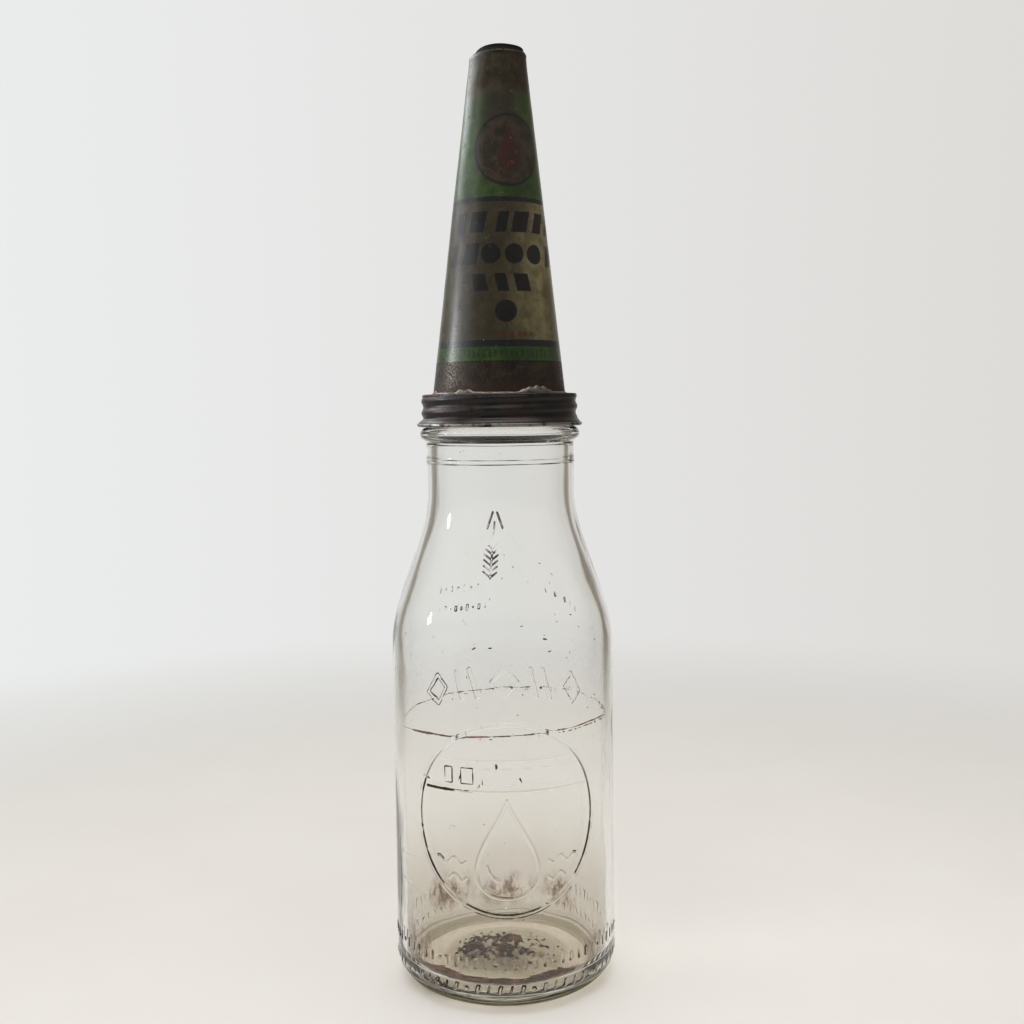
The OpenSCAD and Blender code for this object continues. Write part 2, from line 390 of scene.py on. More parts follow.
def full_mark():
    """The arrow at the full level, a little off true as the mould cut it."""
    top, foot = np.array([-1.9, 208.0]), np.array([-4.4, 181.0])
    for barb in ([(-5.3, 201.0), (-3.0, 207.6)], [(0.9, 201.2), (-1.2, 207.4)]):
        stroke(barb, 0.5, 0.34)
    stroke([(-2.3, 203.6), foot], 0.42, 0.22)
    for k in range(6):
        at = foot + (top - foot) * (0.02 + 0.085 * k)
        stroke([at + (-2.9, 2.3), at, at + (2.7, 2.0)], 0.42, 0.24)
    for row_z, count in ((177.0, 8), (169.2, 9)):
        for k in range(count):
            u = -26.5 + 20.0 * k / (count - 1)
            tall = (2.6, 1.2, 2.0, 0.6)[(3 * k + count) % 4]
            block(u, row_z + 0.13 * (u + 17), 0.5 + 0.35 * (k % 2), tall, 0.22, edge=0.6, lean=0.12)
    for u, z in ((19.0, 176.0), (23.2, 174.0), (28.0, 171.2), (31.0, 169.0), (33.6, 167.0)):
        block(u, z, 0.7, 2.0, 0.2, edge=0.6, lean=-0.2)


def back_bars():
    """A row of plain slanted bars and lozenges across the back."""
    for k in range(5):
        u, z = -38 + 19 * k, 119.0
        if k % 2:
            for shift in (-3.6, 3.6):
                stroke([(u + shift - 2, z - 6.6), (u + shift + 2, z + 6.6)], 1.25, 0.5,
                       BACK_U, flat=0.55)
        else:
            stroke([(u - 6.4, z), (u, z + 7), (u + 6.4, z), (u, z - 7), (u - 6.4, z)], 1.15, 0.5,
                   BACK_U, flat=0.55)


def heel_ribs():
    """Two rows of short ribs and studs round the heel, which keep a wet bottle from sticking."""
    for row, (z, gap, tall) in enumerate(((22.0, 4.15, 3.8), (11.2, 4.7, 3.4))):
        count = int(2 * math.pi * BODY_R / gap)
        for k in range(count):
            u = -math.pi * BODY_R + (k + 0.5) * 2 * math.pi * BODY_R / count
            if (k + row) % 6 == 5:
                stroke([(u - 0.1, z), (u + 0.1, z)], 1.3, 0.3)
            else:
                block(u, z, 0.6 + 0.8 * (k % 2), tall, 0.28, edge=0.7,
                      lean=0.25 if row else 0.0)


def thread_z(angle):
    return THREAD_Z + PITCH * angle / (2 * math.pi)


def thread_relief():
    start, end = math.radians(-378), math.radians(90)
    rows = marked_rows(BEAD_Z + 2.9, LIP_Z + 1)
    for turns in (-2, -1, 0):
        a = angles + 2 * math.pi * turns
        share = np.clip((a - start) / (end - start), 0, 1)
        taper = ease(0, 0.12, share) * ease(0, 0.12, 1 - share)
        inside = (a >= start) & (a <= end)
        d = np.abs(outer_z[rows] - thread_z(a)[None, :])
        ridge = CREST_H * (1 - ease(0.25, 1.55, d)) * (taper * inside)[None, :]
        relief[rows] = np.maximum(relief[rows], ridge)


moulded_emblem()
full_mark()
back_bars()
heel_ribs()
thread_relief()
for z, half_width, height in ((227.2, 0.5, 0.34), (229.0, 0.5, 0.22), (7.6, 0.7, 0.2)):
    ring_line(z, half_width, height)
for seam in (math.pi * BODY_R / 2, -math.pi * BODY_R / 2):
    stroke([(seam, 26), (seam, 150)], 0.55, 0.13)
for start_u, start_z, bend in ((-54.5, 61.5, 1.2), (-53.0, 50.0, -3.5)):
    scratch = np.linspace(0, 1, 14)
    stroke(np.stack([start_u + 16 * scratch, start_z + bend * scratch ** 2], -1), 0.4, -0.1)

# no mark may reach outside the CAD box
box_x = bottle_high[0] / np.maximum(np.abs(np.cos(angles)), 1e-6)
box_y = np.where(np.sin(angles) > 0, bottle_high[1], -bottle_low[1]) / np.maximum(
    np.abs(np.sin(angles)), 1e-6)
relief = np.minimum(relief, np.minimum(box_x, box_y)[None, :] - outer_r - 0.12)


# ---- the glass: its mesh

def leaf_cells(detail, rows, row_size):
    """Square cells that are small only where the relief changes: (row, column, size) arrays."""
    high, low = detail.copy(), detail.copy()
    for shift in (1, 2):
        for axis, sign in ((0, 1), (0, -1), (1, 1), (1, -1)):
            moved = np.roll(detail, sign * shift, axis)
            high, low = np.maximum(high, moved), np.minimum(low, moved)
    high, low = high[:rows * STEPS], low[:rows * STEPS]
    waiting = np.ones((rows, COLUMNS // STEPS), bool)
    found, size = [], STEPS
    while size:
        shape = (rows * STEPS // size, size, COLUMNS // size, size)
        flat = high.reshape(shape).max((1, 3)) - low.reshape(shape).min((1, 3)) < LEVEL
        flat &= np.repeat(row_size, STEPS // size)[:, None] >= size
        take = waiting & (flat | (size == 1))
        r, c = np.nonzero(take)
        found.append(np.stack([r * size, c * size, np.full(len(r), size)], -1))
        waiting = np.repeat(np.repeat(waiting & ~take, 2, 0), 2, 1)
        size //= 2
    return np.concatenate(found)


def glass_mesh():
    rows = len(coarse)
    detail = np.zeros((len(profile), COLUMNS))
    detail[:outer_rows] = relief
    cells = leaf_cells(detail, rows, coarse)
    used = np.zeros((rows * STEPS + 1, COLUMNS), bool)
    for dr in (0, 1):
        for dc in (0, 1):
            used[cells[:, 0] + dr * cells[:, 2], (cells[:, 1] + dc * cells[:, 2]) % COLUMNS] = True
    index = np.cumsum(used.ravel()).reshape(used.shape) - 1
    r_i, c_i = np.nonzero(used)
    base_r, base_z = profile[r_i, 0], profile[r_i, 1]
    spot = polar(base_r, angles[c_i], base_z)
    is_outer = r_i < outer_rows
    wave = np.where(is_outer, wave_outer(spot), wave_inner(spot)) * calm(base_z)
    push = (detail[r_i, c_i] + wave) * np.where(is_outer, 1, -1)
    r, z = base_r + push * profile_normal[r_i, 0], base_z + push * profile_normal[r_i, 1]
    points = polar(r, angles[c_i], z)
    faces = []
    small = cells[cells[:, 2] == 1]
    a, b = small[:, 0], small[:, 1]
    c = (b + 1) % COLUMNS
    faces += np.stack([index[a, b], index[a, c], index[a + 1, c], index[a + 1, b]], -1).tolist()
    for r0, c0, size in cells[cells[:, 2] > 1].tolist():
        loop = [(r0, (c0 + k) % COLUMNS) for k in range(size)]
        loop += [(r0 + k, (c0 + size) % COLUMNS) for k in range(size)]
        loop += [(r0 + size, (c0 + size - k) % COLUMNS) for k in range(size)]
        loop += [(r0 + size - k, c0) for k in range(size)]
        faces.append([int(index[q]) for q in loop if used[q]])
    for row in (0, rows * STEPS):
        faces.append([int(index[row, c]) for c in range(COLUMNS) if used[row, c]][::1 if row else -1])
    return points, faces


# ---- node materials as formulas

class Value:
    """A shader socket that can be added, multiplied and compared."""

    def __init__(self, graph, socket):
        self.graph, self.socket = graph, socket

    def __add__(self, other): return self.graph.math("ADD", self, other)
    def __radd__(self, other): return self.graph.math("ADD", other, self)
    def __sub__(self, other): return self.graph.math("SUBTRACT", self, other)
    def __rsub__(self, other): return self.graph.math("SUBTRACT", other, self)
    def __mul__(self, other): return self.graph.math("MULTIPLY", self, other)
    def __rmul__(self, other): return self.graph.math("MULTIPLY", other, self)
    def __truediv__(self, other): return self.graph.math("DIVIDE", self, other)


class Graph:
    """A node material written as formulas over the piece's own place, in millimetres."""

    def __init__(self, name):
        self.material = bpy.data.materials.new(name)
        self.material.use_nodes = True
        self.tree = self.material.node_tree
        self.shader = self.tree.nodes["Principled BSDF"]
        self.place = self.add("ShaderNodeTexCoord").outputs["Object"]
        split = self.add("ShaderNodeSeparateXYZ")
        self.tree.links.new(self.place, split.inputs[0])
        self.x, self.y, self.z = (Value(self, split.outputs[k]) * 1000.0 for k in range(3))

    def add(self, kind, **settings):
        node = self.tree.nodes.new(kind)
        for key, value in settings.items():
            setattr(node, key, value)
        return node

    def feed(self, socket, value):
        if isinstance(value, Value):
            self.tree.links.new(value.socket, socket)
        elif isinstance(value, (tuple, list)) and len(value) == 3 and len(socket.default_value) == 4:
            socket.default_value = (*value, 1)
        else:
            socket.default_value = value

    def math(self, operation, *args):
        node = self.add("ShaderNodeMath", operation=operation)
        for socket, value in zip(node.inputs, args):
            self.feed(socket, value)
        return Value(self, node.outputs[0])

    def rise(self, a, b, value):
        """0 below a, 1 above b, smooth between. a may be above b, which turns it over."""
        if a > b:
            return 1.0 - self.rise(b, a, value)
        node = self.add("ShaderNodeMapRange", interpolation_type="SMOOTHSTEP")
        self.feed(node.inputs["Value"], value)
        node.inputs["From Min"].default_value = a
        node.inputs["From Max"].default_value = b
        return Value(self, node.outputs[0])

    def texture(self, kind, size, seed, stretch=(1, 1, 1)):
        move = self.add("ShaderNodeMapping")
        self.tree.links.new(self.place, move.inputs["Vector"])
        move.inputs["Location"].default_value = (seed * 0.37, seed * 0.71, seed * 0.13)
        move.inputs["Scale"].default_value = stretch
        node = self.add(kind)
        self.tree.links.new(move.outputs[0], node.inputs["Vector"])
        node.inputs["Scale"].default_value = 1000.0 / size
        return node

    def noise(self, size, detail=3.0, roughness=0.55, stretch=(1, 1, 1), seed=0.0):
        """Noise from 0 to 1 with features about size millimetres across."""
        node = self.texture("ShaderNodeTexNoise", size, seed, stretch)
        node.inputs["Detail"].default_value = detail
        node.inputs["Roughness"].default_value = roughness
        return Value(self, node.outputs[0])

    def cells(self, size, seed=0.0):
        """Distance to the nearest of many scattered points, from 0 at a point."""
        return Value(self, self.texture("ShaderNodeTexVoronoi", size, seed).outputs["Distance"])

    def mix(self, factor, a, b):
        node = self.add("ShaderNodeMix", data_type="RGBA")
        self.feed(node.inputs[0], factor)
        self.feed(node.inputs[6], a)
        self.feed(node.inputs[7], b)
        return Value(self, node.outputs[2])

    def coats(self, colour, *layers):
        """A colour with others laid over it in turn, each with how much of it shows."""
        for share, coat in layers:
            colour = self.mix(share, colour, coat)
        return colour

    def apart(self, value, centre=0.0):
        return self.math("ABSOLUTE", value - centre)

    def reach(self, across, up, centre_across=0.0, centre_up=0.0):
        """Distance from a centre over two directions."""
        a, b = across - centre_across, up - centre_up
        return self.math("SQRT", a * a + b * b)

    def output(self, socket, name="Surface"):
        output = next(n for n in self.tree.nodes if n.type == "OUTPUT_MATERIAL")
        self.tree.links.new(socket, output.inputs[name])

    def blended(self, factor, first, second):
        """Shows the first shader where factor is 0 and the second where it is 1."""
        blend = self.add("ShaderNodeMixShader")
        self.feed(blend.inputs[0], factor)
        self.tree.links.new(first.outputs[0], blend.inputs[1])
        self.tree.links.new(second.outputs[0], blend.inputs[2])
        self.output(blend.outputs[0])

    def bump(self, height):
        """A normal from a height in millimetres."""
        node = self.add("ShaderNodeBump")
        node.inputs["Strength"].default_value = 1.0
        node.inputs["Distance"].default_value = MM
        self.feed(node.inputs["Height"], height)
        self.feed(self.shader.inputs["Normal"], Value(self, node.outputs[0]))

    def set(self, **values):
        for name, value in values.items():
            self.feed(self.shader.inputs[name.replace("_", " ")], value)


def lerp(factor, a, b):
    """a where factor is 0, b where it is 1."""
    return factor * (b - a) + a


# ---- materials

def glass_material():
    g = Graph("bottle_glass")
    g.set(Base_Color=(0.995, 0.995, 0.99), IOR=1.47, Transmission_Weight=1.0)
    haze = g.rise(0.5, 0.75, g.noise(30, 4, seed=3)) * g.rise(60, 0, g.z)
    g.set(Roughness=haze * 0.06 + 0.004)
    ripple = g.noise(9, 2, stretch=(1, 1, 0.4), seed=1) * 0.05 + g.noise(2.2, 2, seed=2) * 0.004
    g.bump(ripple)
    absorb = g.add("ShaderNodeVolumeAbsorption")
    absorb.inputs["Color"].default_value = (0.74, 0.73, 0.60, 1)
    absorb.inputs["Density"].default_value = 14.0
    g.output(absorb.outputs[0], "Volume")
    return g.material


CONE_BASE_Z, CONE_TOP_Z, CONE_BASE_R = cone_low[2], cone_high[2], cone_high[0]
TIP_ROUND_H, CONE_TIP_R = 4.2, 12.1
CONE_SLOPE = (CONE_BASE_R - CONE_TIP_R) / (CONE_TOP_Z - CONE_BASE_Z - TIP_ROUND_H)
CONE_LEAN = 1.2  # how far the tip leans to the right


def printed_material():
    """Printed tinplate: a green top with a round emblem, a cream panel with dark blocks, a green band and
    bare tin at the foot, all worn, stained and rusted, with painted shade on the panel's left and front
    and round the mouth."""
    g = Graph("printed_tinplate")
    z = g.z + (g.noise(1.6, 2, seed=4) - 0.5) * 0.5
    lean = g.rise(CONE_BASE_Z, CONE_TOP_Z, g.z) * CONE_LEAN
    angle = g.math("ARCTAN2", g.x - lean, g.y * -1.0)
    u = angle * (CONE_BASE_R - (g.z - CONE_BASE_Z) * CONE_SLOPE)
    u = u + (g.noise(1.6, 2, seed=5) - 0.5) * 0.5

    def band(low, high, soft=0.12):
        return g.rise(low - soft, low + soft, z) * g.rise(high + soft, high - soft, z)

    def near(value, centre, half, soft=0.15):
        return g.rise(half + soft, half - soft, g.apart(value, centre))

    def repeated(pitch, half, shift=0.0):
        inside = g.math("FLOORED_MODULO", u + (shift + 100 * pitch), pitch)
        return near(inside, pitch / 2, half)

    stain = g.noise(24, 5, 0.6, (1, 1, 0.45), seed=6)
    mottle = g.noise(5, 5, 0.65, seed=7)
    fine = g.noise(0.9, 3, 0.6, seed=8)
    speck = g.noise(2.1, 3, 0.7, seed=9)
    drip = g.noise(6, 3, 0.6, (1, 1, 0.12), seed=10)

    tan = g.mix(g.rise(0.35, 0.65, mottle), (0.100, 0.085, 0.036), (0.190, 0.165, 0.075))
    tan = g.mix(g.rise(0.42, 0.62, stain) * 0.8, tan, (0.060, 0.044, 0.022))
    # the panel is darker over the left and front than on the right: partly a stain, partly painted shade
    # for the brighter light that falls on the right side
    tan = g.mix(g.rise(20, 0, u) * 0.85, tan, (0.020, 0.015, 0.008))
    green = g.mix(g.rise(0.35, 0.7, mottle), (0.016, 0.037, 0.005), (0.034, 0.064, 0.010))
    navy = (0.006, 0.009, 0.011)
    bare = g.mix(g.rise(0.38, 0.66, mottle), (0.019, 0.013, 0.008), (0.040, 0.028, 0.018))
    tip = g.mix(g.rise(0.4, 0.62, mottle), (0.026, 0.019, 0.008), (0.042, 0.034, 0.018))
    tip = g.mix(g.rise(0.5, 0.66, stain), tip, (0.040, 0.021, 0.015))

    colour = g.mix(g.rise(269.2, 269.8, z), bare, green)
    ticks = band(270.9, 274.5) * repeated(2.3, 0.55) * g.rise(0.35, 0.55, speck)
    colour = g.coats(colour, (ticks * 0.7, (0.008, 0.018, 0.006)),
                     (band(269.1, 269.8, 0.1), (0.012, 0.016, 0.008)),
                     (band(275.5, 278.3), navy), (g.rise(278.2, 278.5, z), tan))
    worn = g.rise(0.20, 0.33, g.noise(2.2, 4, 0.7, seed=11))

    def bars(low, high, places, lean=0.0):
        """Solid bars between two heights, each given by its middle and its half width."""
        total = 0.0
        for middle, half in places:
            total = total + near(u + (z - low) * lean, middle, half)
        return band(low, high) * total

    def disc(centre_u, centre_z, radius):
        return g.rise(radius, radius - 0.3, g.reach(u, z, centre_u, centre_z))

    rows = (bars(322.8, 331.4, ((-18, 2.6), (-9.5, 3.4), (1, 2.2), (9, 3.6), (18.5, 2.8), (27, 2.5)), -0.2)
            + bars(309.4, 318.3, ((-22, 2.0), (-13, 3.4), (26.5, 2.6)), -0.2)
            + disc(-3, 313.9, 4.3) + disc(7, 313.9, 4.3) + disc(17, 313.9, 4.3)
            + bars(298.4, 305.7, ((-7, 3.2), (2.5, 2.4), (11.5, 3.2)), 0.25)
            + disc(3.4, 290.2, 4.7))
    dashes = band(279.7, 281.6) * repeated(2.7, 0.75, 0.6) * near(u, 8, 8.2)
    middle = g.rise(14, 4, g.math("ABSOLUTE", u - 1.0 + (stain - 0.5) * 14.0))
    field = g.mix(middle * g.rise(340, 350, z), green, (0.024, 0.021, 0.012))

    badge_u = 4.6
    away = g.reach(u, z, badge_u, 356.9)
    badge = g.mix(g.rise(0.4, 0.62, mottle), (0.018, 0.014, 0.008), (0.040, 0.028, 0.017))
    bulb = g.rise(5.4, 5.1, g.reach(u, z, badge_u, 353.5))
    peak = g.rise(0.15, -0.15, g.apart(u, badge_u) - (367.5 - z) * 0.40) * band(355.6, 367.4)
    drop = g.math("MINIMUM", bulb + peak, 1.0) * worn
    outline = g.rise(0.75, 0.5, g.apart(away, 14.6)) * g.rise(0.2, 0.4, speck)
    edge = (g.noise(7, 4, 0.7, seed=12) - 0.5) * 9.0
    # the top few millimetres round the mouth are painted near-black, dull and unshiny: painted shade for
    # the dark inside of the mouth
    mouth_shade = g.rise(CONE_TOP_Z - 4.0, CONE_TOP_Z - 3.0, g.z - g.x * 0.03 + (fine - 0.5))
    colour = g.coats(
        colour, (rows * worn, (0.006, 0.006, 0.006)), (dashes * worn * 0.8, (0.075, 0.020, 0.010)),
        (band(335.5, 337.5), navy), (g.rise(337.3, 337.7, z), field), (g.rise(15.2, 14.9, away), badge),
        (drop, (0.036, 0.013, 0.009)), (outline, (0.010, 0.011, 0.010)),
        (g.rise(378.5, 383.0, g.z + edge), tip), (mouth_shade, (0.006, 0.005, 0.004)))

    scratch = g.rise(0.66, 0.72, g.noise(1.0, 2, 0.6, (2.6, 2.6, 0.5), seed=13))
    scratch = scratch * g.rise(0.50, 0.60, g.noise(12, 3, seed=14))
    grime = g.rise(0.50, 0.70, g.noise(11, 6, 0.68, (1, 1, 0.6), seed=15))
    rust = g.rise(0.60, 0.68, g.noise(3.4, 5, 0.7, seed=16)) * g.rise(0.42, 0.6, stain)
    seam_rust = g.rise(0.42, 0.10, g.apart(g.x) / 18.0 + fine * 0.3) * g.rise(0, 8, g.y)
    foot_rust = g.rise(6.5, 0.5, (g.z - CONE_BASE_Z) + (mottle - 0.5) * 9.0)
    colour = g.coats(
        colour, (grime * 0.55, (0.015, 0.012, 0.008)), (rust * 0.8, (0.060, 0.024, 0.010)),
        (foot_rust * 0.55, (0.050, 0.022, 0.012)), (seam_rust * 0.8, (0.040, 0.020, 0.011)),
        (scratch * 0.6, (0.12, 0.11, 0.085)), (g.rise(0.70, 0.78, speck) * 0.7, (0.012, 0.009, 0.006)))

    low_bare = g.rise(270.0, 269.4, z)
    bare_share = g.math("MAXIMUM", low_bare, g.rise(380, 386, g.z + edge))
    pepper = g.rise(0.42, 0.62, fine)
    rough = lerp(bare_share, 0.20, 0.26) + mottle * 0.12 + pepper * (low_bare * 0.2 + 0.05)
    rough = rough + mouth_shade * 0.4 + rust * 0.3 + foot_rust * 0.15 + drip * 0.06
    # the painted shade round the mouth also takes away its metal and most of its shine
    g.set(Base_Color=colour, Roughness=rough, Metallic=(1.0 - mouth_shade) * (bare_share * 0.45 + scratch * 0.3),
          Specular_IOR_Level=(1.0 - mouth_shade * 0.9) * 0.45)
    paint = g.rise(269.5, 270.1, z) * g.rise(386, 380, g.z + edge) * 0.03
    height = paint + rust * 0.05 + fine * 0.008 + speck * 0.012 + pepper * low_bare * 0.015
    height = height - scratch * 0.03 + rows * worn * 0.012
    g.bump(height)
    return g.material


def collar_material():
    """Dark, oily tinplate with rust on its flange and polished rub marks on its ridges."""
    g = Graph("dark_tinplate")
    mottle = g.noise(6, 5, 0.65, (1, 1, 1.6), seed=21)
    fine = g.noise(0.8, 3, 0.6, seed=22)
    patch = g.noise(16, 4, 0.6, seed=23)
    colour = g.mix(g.rise(0.35, 0.65, mottle), (0.004, 0.0036, 0.0032), (0.010, 0.008, 0.006))
    top = g.rise(collar_high[2] - 5.6, collar_high[2] - 3.9, g.z + (fine - 0.5))
    rust = g.rise(0.46, 0.60, patch + (mottle - 0.5) * 0.4) * g.math("MAXIMUM", top, 0.35)
    left = g.rise(30, -30, g.x + g.y * 0.3)
    colour = g.mix(rust * (left * 0.6 + 0.3), colour, (0.050, 0.018, 0.011))
    foot = g.rise(collar_low[2] + 1.7, collar_low[2] + 1.2, g.z)
    rub = g.rise(RIDGE_R - 0.25, RIDGE_R, g.reach(g.x, g.y)) * g.rise(0.45, 0.6, fine) * (1.0 - foot)
    bright = g.rise(0.40, 0.55, g.noise(7, 4, 0.6, seed=24)) * foot
    colour = g.coats(colour, (rub * 0.3, (0.08, 0.07, 0.06)), (bright * 0.75, (0.34, 0.32, 0.29)))
    g.set(Base_Color=colour, Metallic=bright * 0.8 + rub * 0.3 + 0.15,
          Roughness=mottle * 0.2 + rust * 0.3 + 0.26, Specular_IOR_Level=0.35)
    g.bump(fine * 0.02 + rust * 0.06 + mottle * 0.03)
    return g.material


def solder_material():
    g = Graph("old_solder")
    mottle = g.noise(3, 5, 0.65, seed=31)
    fine = g.noise(0.6, 3, 0.6, seed=32)
    rust = g.rise(0.50, 0.62, g.noise(5, 4, 0.65, seed=33))
    colour = g.mix(g.rise(0.35, 0.65, mottle), (0.055, 0.047, 0.038), (0.145, 0.130, 0.110))
    colour = g.mix(rust * 0.75, colour, (0.140, 0.050, 0.020))
    g.set(Base_Color=colour, Metallic=0.55 - rust * 0.5, Roughness=mottle * 0.25 + rust * 0.3 + 0.25)
    g.bump(fine * 0.03 + mottle * 0.12)
    return g.material


def cork_material():
    g = Graph("cork")
    grain = g.cells(2.2, 41)
    mottle = g.noise(3.5, 4, 0.6, seed=42)
    dark = g.rise(0.62, 0.70, g.noise(1.1, 3, 0.65, seed=43))
    colour = g.mix(g.rise(0.1, 0.6, grain), (0.20, 0.115, 0.052), (0.30, 0.19, 0.095))
    colour = g.coats(colour, (g.rise(0.4, 0.7, mottle) * 0.6, (0.11, 0.06, 0.028)),
                     (dark, (0.035, 0.018, 0.010)))
    g.set(Base_Color=colour, Roughness=mottle * 0.15 + 0.72)
    g.bump(g.rise(0.0, 0.5, grain) * 0.12 - dark * 0.15)
    return g.material


def haze_material():
    """A thin, uneven veil of old oil: clear in most places, brown and streaky low down. Its see-through
    tint darkens towards the bottom, partly from the oil and partly as painted shade, and is darkest on the
    floor and round the heel, where it is painted shade for the bottle's missing shadow.
    """
    g = Graph("oil_haze_and_shade")
    angle = g.math("ARCTAN2", g.x, g.y * -1.0)
    patches = 0.0
    for centre, height, wide, tall, strength in (
            (-0.95, 24, 0.42, 15, 0.75), (-2.45, 22, 0.42, 12, 0.8), (1.05, 20, 0.36, 12, 0.6),
            (2.5, 20, 0.36, 11, 0.75), (3.05, 19, 0.30, 10, 0.7), (-3.0, 17, 0.3, 8, 0.6),
            (1.05, 11, 0.40, 6, 1.0), (-1.15, 11, 0.45, 6, 0.9), (0.1, 9, 0.5, 3.5, 0.6)):
        across = g.math("WRAP", angle - centre, math.pi, -math.pi) * (1.0 / wide)
        up = (g.z - height) * (1.0 / tall)
        patches = patches + g.rise(1.0, 0.0, g.reach(across, up)) * strength
    streak = g.noise(3.0, 6, 0.75, (1, 1, 0.55), seed=61)
    blotch = g.noise(8, 4, 0.6, (1, 1, 0.5), seed=62)
    veil = g.rise(75, 8, g.z) * 0.06
    streaky = g.rise(0.42, 0.60, streak)
    smear = patches * (streaky * 0.8 + 0.25) * g.rise(0.38, 0.58, blotch) * 1.3
    smear = g.math("MINIMUM", smear, 1.0)
    cover = g.math("MINIMUM", veil * (blotch * 0.8 + 0.6) + smear * 0.30, 0.85)
    colour = g.mix(streaky, (0.170, 0.105, 0.045), (0.075, 0.040, 0.016))
    g.set(Base_Color=colour, Roughness=0.6)
    tint = g.add("ShaderNodeBsdfTransparent")
    # the see-through tint darkens towards the bottom: partly the oil film, partly painted shade
    clear = g.mix(g.rise(82, 14, g.z), (1.0, 1.0, 1.0), (0.937, 0.922, 0.895))
    # a darker tint still on the floor and round the heel: painted shade, standing in for the bottle's
    # shadow and the dark of its underside
    outward = g.rise(38.5, 45, g.reach(g.x, g.y))
    low = g.rise(14, 9, g.z) * (blotch * 0.5 + 0.75) * g.math("MAXIMUM", g.rise(6.4, 6.8, g.z), outward)
    clear = g.mix(low, clear, (0.872, 0.862, 0.818))
    g.feed(tint.inputs[0], g.mix(smear, clear, (0.66, 0.53, 0.40)))
    g.blended(cover, tint, g.shader)
    return g.material


def residue_material(name, dark, brown, rusty, rusty_share):
    """Dried oil: darkest where it is thick, rusty where it is thin."""
    g = Graph(name)
    mottle = g.noise(2.2, 5, 0.7, seed=51)
    patch = g.noise(8, 3, 0.6, seed=52)
    colour = g.mix(g.rise(0.40, 0.60, mottle), dark, brown)
    colour = g.mix(g.rise(0.62 - rusty_share * 0.25, 0.72 - rusty_share * 0.25, patch), colour, rusty)
    g.set(Base_Color=colour, Roughness=mottle * 0.3 + 0.4, Specular_IOR_Level=0.15)
    g.bump(mottle * 0.06)
    return g.material


# ---- the tin pourer

RIDGE_R, ROLL_DEPTH, CURL_R = 33.9, 0.8, 0.9
COLLAR_TOP = CONE_BASE_Z
CURL_Z = collar_low[2] + CURL_R
CURL_CENTRE_R = collar_high[0] - CURL_R
SPIGOT_H = collar_high[2] - COLLAR_TOP


def skirt_r(angle, z):
    """Outside radius of the collar's skirt, with the thread rolled into it."""
    wave = ROLL_DEPTH / 2 * np.cos(2 * math.pi * (z - thread_z(angle)) / PITCH)
    fade_top = ease(0.3, 1.8, COLLAR_TOP - z)
    flare = 1 - ease(0, 2.2, z - CURL_Z - 0.6)
    rolled = RIDGE_R - ROLL_DEPTH / 2 + wave * fade_top
    return np.maximum(rolled, rolled * (1 - flare) + (CURL_CENTRE_R + TIN / 2) * flare)


def around(angle):
    """Where an angle lies on a circle, for noise that closes on itself."""
    return polar(30.0, angle, 0.0)


def collar_piece(material):
    """The screw collar's one closed section: spigot, flange, rolled skirt and the curl at its foot."""
    bend_r, side_steps, top_steps = 0.75, 44, 7
    z_side = np.linspace(COLLAR_TOP - bend_r, CURL_Z + CURL_R * 0.75, side_steps)
    spigot_r = CONE_BASE_R - TIN - 0.05
    spigot_top_r = spigot_r - CONE_SLOPE * SPIGOT_H
    flange = COLLAR_TOP - TIN

    def section(angle):
        side = skirt_r(angle, z_side)
        corner = side[0]
        bend = np.radians(np.linspace(90, 12, 6))
        curl = np.radians(np.linspace(42, -215, 20))
        dent = 0.10 * noise(around(angle), 14, 61)
        top_r = np.linspace(spigot_r + 0.2, corner - bend_r, top_steps)
        sunk = 0.05 * (1 + noise(around(angle), 9, 62)) * np.sin(np.linspace(0, math.pi, top_steps))
        r = np.concatenate([
            [spigot_r - TIN, spigot_top_r - TIN, spigot_top_r, spigot_r], top_r,
            corner - bend_r + bend_r * np.cos(bend),
            side + dent * np.sin(np.linspace(0, math.pi, side_steps)) - 0.05,
            CURL_CENTRE_R + CURL_R * np.cos(curl),
            (side - TIN)[::-1], [corner - TIN - 0.6]])
        z = np.concatenate([
            [flange, COLLAR_TOP + SPIGOT_H, COLLAR_TOP + SPIGOT_H, COLLAR_TOP], COLLAR_TOP - sunk,
            COLLAR_TOP - bend_r + bend_r * np.sin(bend),
            z_side, CURL_Z + CURL_R * np.sin(curl), z_side[::-1], [flange]])
        return r, z

    return swept_piece("threaded_collar", 288, section, "pourer", material,
                       "screw_collar", sharp=50)


LAP_HALF = 3.5 / 28.6  # half the lap's width, as an angle


def cone_r(z):
    return CONE_BASE_R - CONE_SLOPE * (z - CONE_BASE_Z)


def cone_lean(z):
    return CONE_LEAN * (z - CONE_BASE_Z) / (CONE_TOP_Z - CONE_BASE_Z)


# dents and bulges of the cone: degrees from the front, height, reach, depth
DENTS = ((-58, 394, 11, -0.5), (46, 318, 15, -0.45), (12, 300, 11, -0.30), (66, 399, 8, 0.35),
         (-30, 345, 12, -0.35), (150, 330, 16, -0.6), (-120, 292, 14, -0.5))


